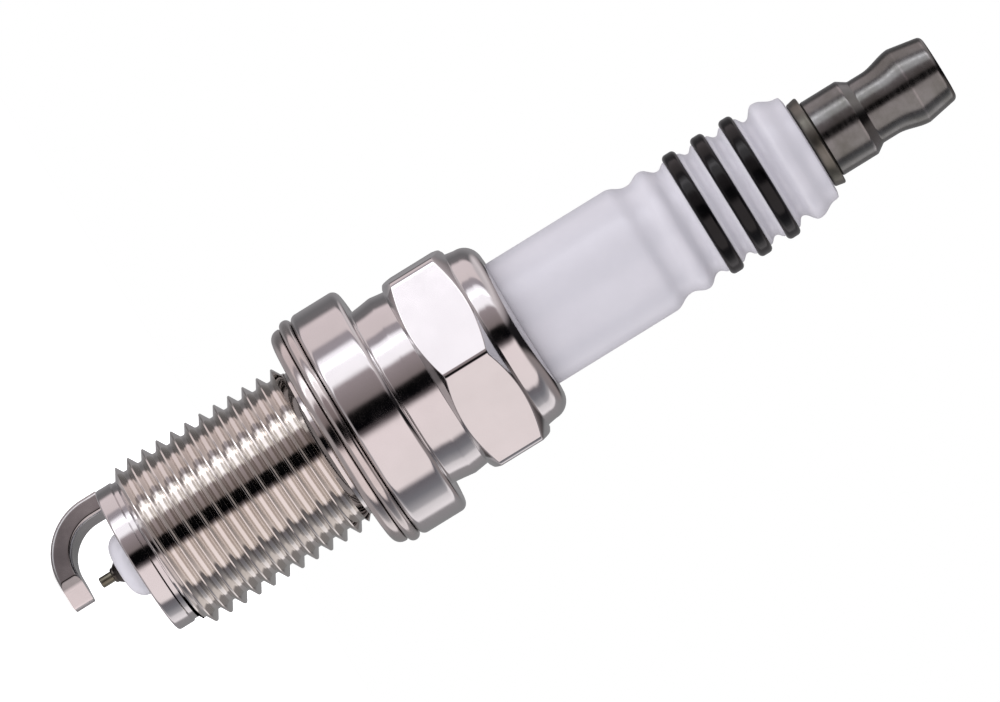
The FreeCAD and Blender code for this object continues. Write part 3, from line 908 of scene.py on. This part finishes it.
def make_floor():
    """A pale round floor just under the plug, as bright as the backdrop where nothing shades it."""
    mesh = bmesh.new()
    bmesh.ops.create_circle(mesh, cap_ends=True, segments=128, radius=0.25)
    data = bpy.data.meshes.new("floor")
    mesh.to_mesh(data)
    mesh.free()
    floor = bpy.data.objects.new("floor", data)
    floor.location.z = cad_low.z - 0.0001
    bpy.context.scene.collection.objects.link(floor)
    look = Surface("floor", Roughness=0.9, Emission_Strength=0.8)
    look.shader.inputs["Emission Color"].default_value = (1, 1, 1, 1)
    look.shader.inputs["Specular IOR Level"].default_value = 0.0
    cloud = look.noise((20, 20, 20))
    look.colour(look.colours(cloud, (0.3, (0.90, 0.90, 0.90)), (0.7, (0.92, 0.92, 0.92))))
    wear(floor, look.material)
    floor.visible_glossy = False


# Upright light panels round the plug: (degrees from the camera, screen level on plated steel).
BANDS = (
    (-180, (120, 118, 120)), (-160, (122, 120, 122)), (-140, (99, 97, 99)),
    (-126, (104, 100, 102)), (-119, (204, 191, 193)), (-87, (201, 189, 190)),
    (-83, (146, 138, 143)), (-74, (146, 139, 145)), (-70, (247, 243, 249)),
    (-66, (247, 243, 249)), (-64.5, (345, 340, 348)), (-59.5, (345, 340, 348)),
    (-58, (247, 243, 249)), (-43, (245, 241, 245)), (-38, (144, 133, 136)),
    (-16, (118, 108, 108)), (-12, (6, 6, 6)), (4.5, (3, 3, 5)), (9, (84, 76, 78)),
    (15, (216, 203, 204)), (18, (221, 208, 209)), (72, (221, 210, 210)), (78, (96, 92, 97)),
    (92, (112, 111, 116)), (106, (160, 157, 160)), (110, (204, 199, 201)),
    (125, (224, 218, 220)), (130, (134, 130, 132)), (160, (118, 117, 118)),
)
# The same overhead, from the far left to the far right, and from below.
OVERHEAD = (
    (-1.0, (150, 146, 148)), (-0.5, (200, 192, 194)), (-0.25, (142, 134, 136)),
    (-0.12, (26, 24, 26)), (0.27, (22, 20, 22)), (0.42, (130, 121, 121)),
    (1.0, (122, 118, 121)),
)
BELOW = (150, 144, 146)
# The share of the light that plated steel reflects, and the light that full white in a ramp means.
PLATE_SHINE = 0.63
PEAK = 4.0


def brightness(levels):
    """The light, as a share of PEAK, that makes plated steel show these levels; 255 is white."""
    light = []
    for level in levels:
        share = level / 255
        linear = share / 12.92 if share < 0.04 else ((share + 0.055) / 1.055) ** 2.4
        light.append(linear / PLATE_SHINE / PEAK)
    return (*light, 1.0)


def make_world():
    """Soft studio light: upright panels and gaps all round, darker above, white to the camera."""
    world = bpy.data.worlds.new("studio")
    bpy.context.scene.world = world
    world.use_nodes = True
    nodes, links = world.node_tree.nodes, world.node_tree.links
    nodes.clear()

    def step(kind, operation, *inputs):
        node = nodes.new(kind)
        if operation:
            node.operation = operation
        for socket, value in zip(node.inputs, inputs):
            if isinstance(value, (int, float)):
                socket.default_value = value
            else:
                links.new(value, socket)
        return node

    def panels(value, low, high, stops):
        """Light levels laid out along a value that runs from low to high."""
        share = step("ShaderNodeMapRange", None, value, low, high, 0.0, 1.0)
        node = step("ShaderNodeValToRGB", None, share.outputs["Result"])
        while len(node.color_ramp.elements) < len(stops):
            node.color_ramp.elements.new(0.5)
        start, span = stops[0][0], -2 * stops[0][0]
        for element, (spot, levels) in zip(node.color_ramp.elements, stops):
            element.position = (spot - start) / span
            element.color = brightness(levels)
        return node.outputs["Color"]

    def shade(height, low, high, under, over):
        """Fade from the light under a height to the light over it."""
        fade = step("ShaderNodeMapRange", None, height, low, high, 0.0, 1.0)
        fade.interpolation_type = "SMOOTHSTEP"
        mix = nodes.new("ShaderNodeMix")
        mix.data_type = "RGBA"
        links.new(fade.outputs["Result"], mix.inputs[0])
        links.new(under, mix.inputs[6])
        if isinstance(over, tuple):
            mix.inputs[7].default_value = over
        else:
            links.new(over, mix.inputs[7])
        return mix.outputs[2]

    place = nodes.new("ShaderNodeTexCoord").outputs["Generated"]
    split = step("ShaderNodeSeparateXYZ", None, place)
    away = step("ShaderNodeMath", "MULTIPLY", split.outputs["Y"], -1.0)
    turn = step("ShaderNodeMath", "ARCTAN2", split.outputs["X"], away.outputs[0])
    first = -math.pi - math.radians(CAMERA_SWING)
    walls = panels(turn.outputs[0], first, first + 2 * math.pi, BANDS)
    ceiling = panels(split.outputs["X"], -1.0, 1.0, OVERHEAD)
    behind = step("ShaderNodeMath", "MAXIMUM", split.outputs["Y"], 0.0)
    steeper = step("ShaderNodeMath", "MULTIPLY_ADD", behind.outputs[0], 0.8, 1.0)
    height = step("ShaderNodeMath", "MULTIPLY", split.outputs["Z"], steeper.outputs[0]).outputs[0]
    covered = shade(height, 0.55, 0.80, walls, ceiling)
    room = shade(height, -0.60, -0.84, covered, brightness(BELOW))
    panel_light = step("ShaderNodeBackground", None, room, PEAK)
    soft_light = step("ShaderNodeBackground", None)
    soft_light.inputs["Color"].default_value = (0.98, 0.97, 1.0, 1.0)
    side = step("ShaderNodeMapRange", None, split.outputs["X"], -1.0, 1.0, 0.98, 0.74)
    links.new(side.outputs["Result"], soft_light.inputs["Strength"])
    path = nodes.new("ShaderNodeLightPath")
    light = nodes.new("ShaderNodeMixShader")
    links.new(path.outputs["Is Diffuse Ray"], light.inputs[0])
    links.new(panel_light.outputs[0], light.inputs[1])
    links.new(soft_light.outputs[0], light.inputs[2])
    backdrop = step("ShaderNodeBackground", None)
    backdrop.inputs["Color"].default_value = (1.0, 1.0, 1.0, 1.0)
    backdrop.inputs["Strength"].default_value = 1.0
    final = nodes.new("ShaderNodeMixShader")
    links.new(path.outputs["Is Camera Ray"], final.inputs[0])
    links.new(light.outputs[0], final.inputs[1])
    links.new(backdrop.outputs[0], final.inputs[2])
    output = nodes.new("ShaderNodeOutputWorld")
    links.new(final.outputs[0], output.inputs["Surface"])


# ---------------------------------------------------------------- making

make_camera()
make_floor()
make_world()
bpy.context.scene.view_settings.view_transform = "Standard"

looks = dress()
wear(make_shell(), looks["plated_steel"])
wear(make_gasket(), looks["gasket_steel"])
wear(make_insulator(), looks["glazed_alumina"])
for number in (1, 2, 3):
    wear(make_band(number), looks["black_glaze"])
pin, tip = make_centre_electrode()
wear(pin, looks["pin_nickel"])
wear(tip, looks["precious_tip"])
wear(make_strap(), looks["strap_nickel"])
wear(make_stud(), looks["stud_steel"])
wear(make_nut(), looks["nut_steel"])
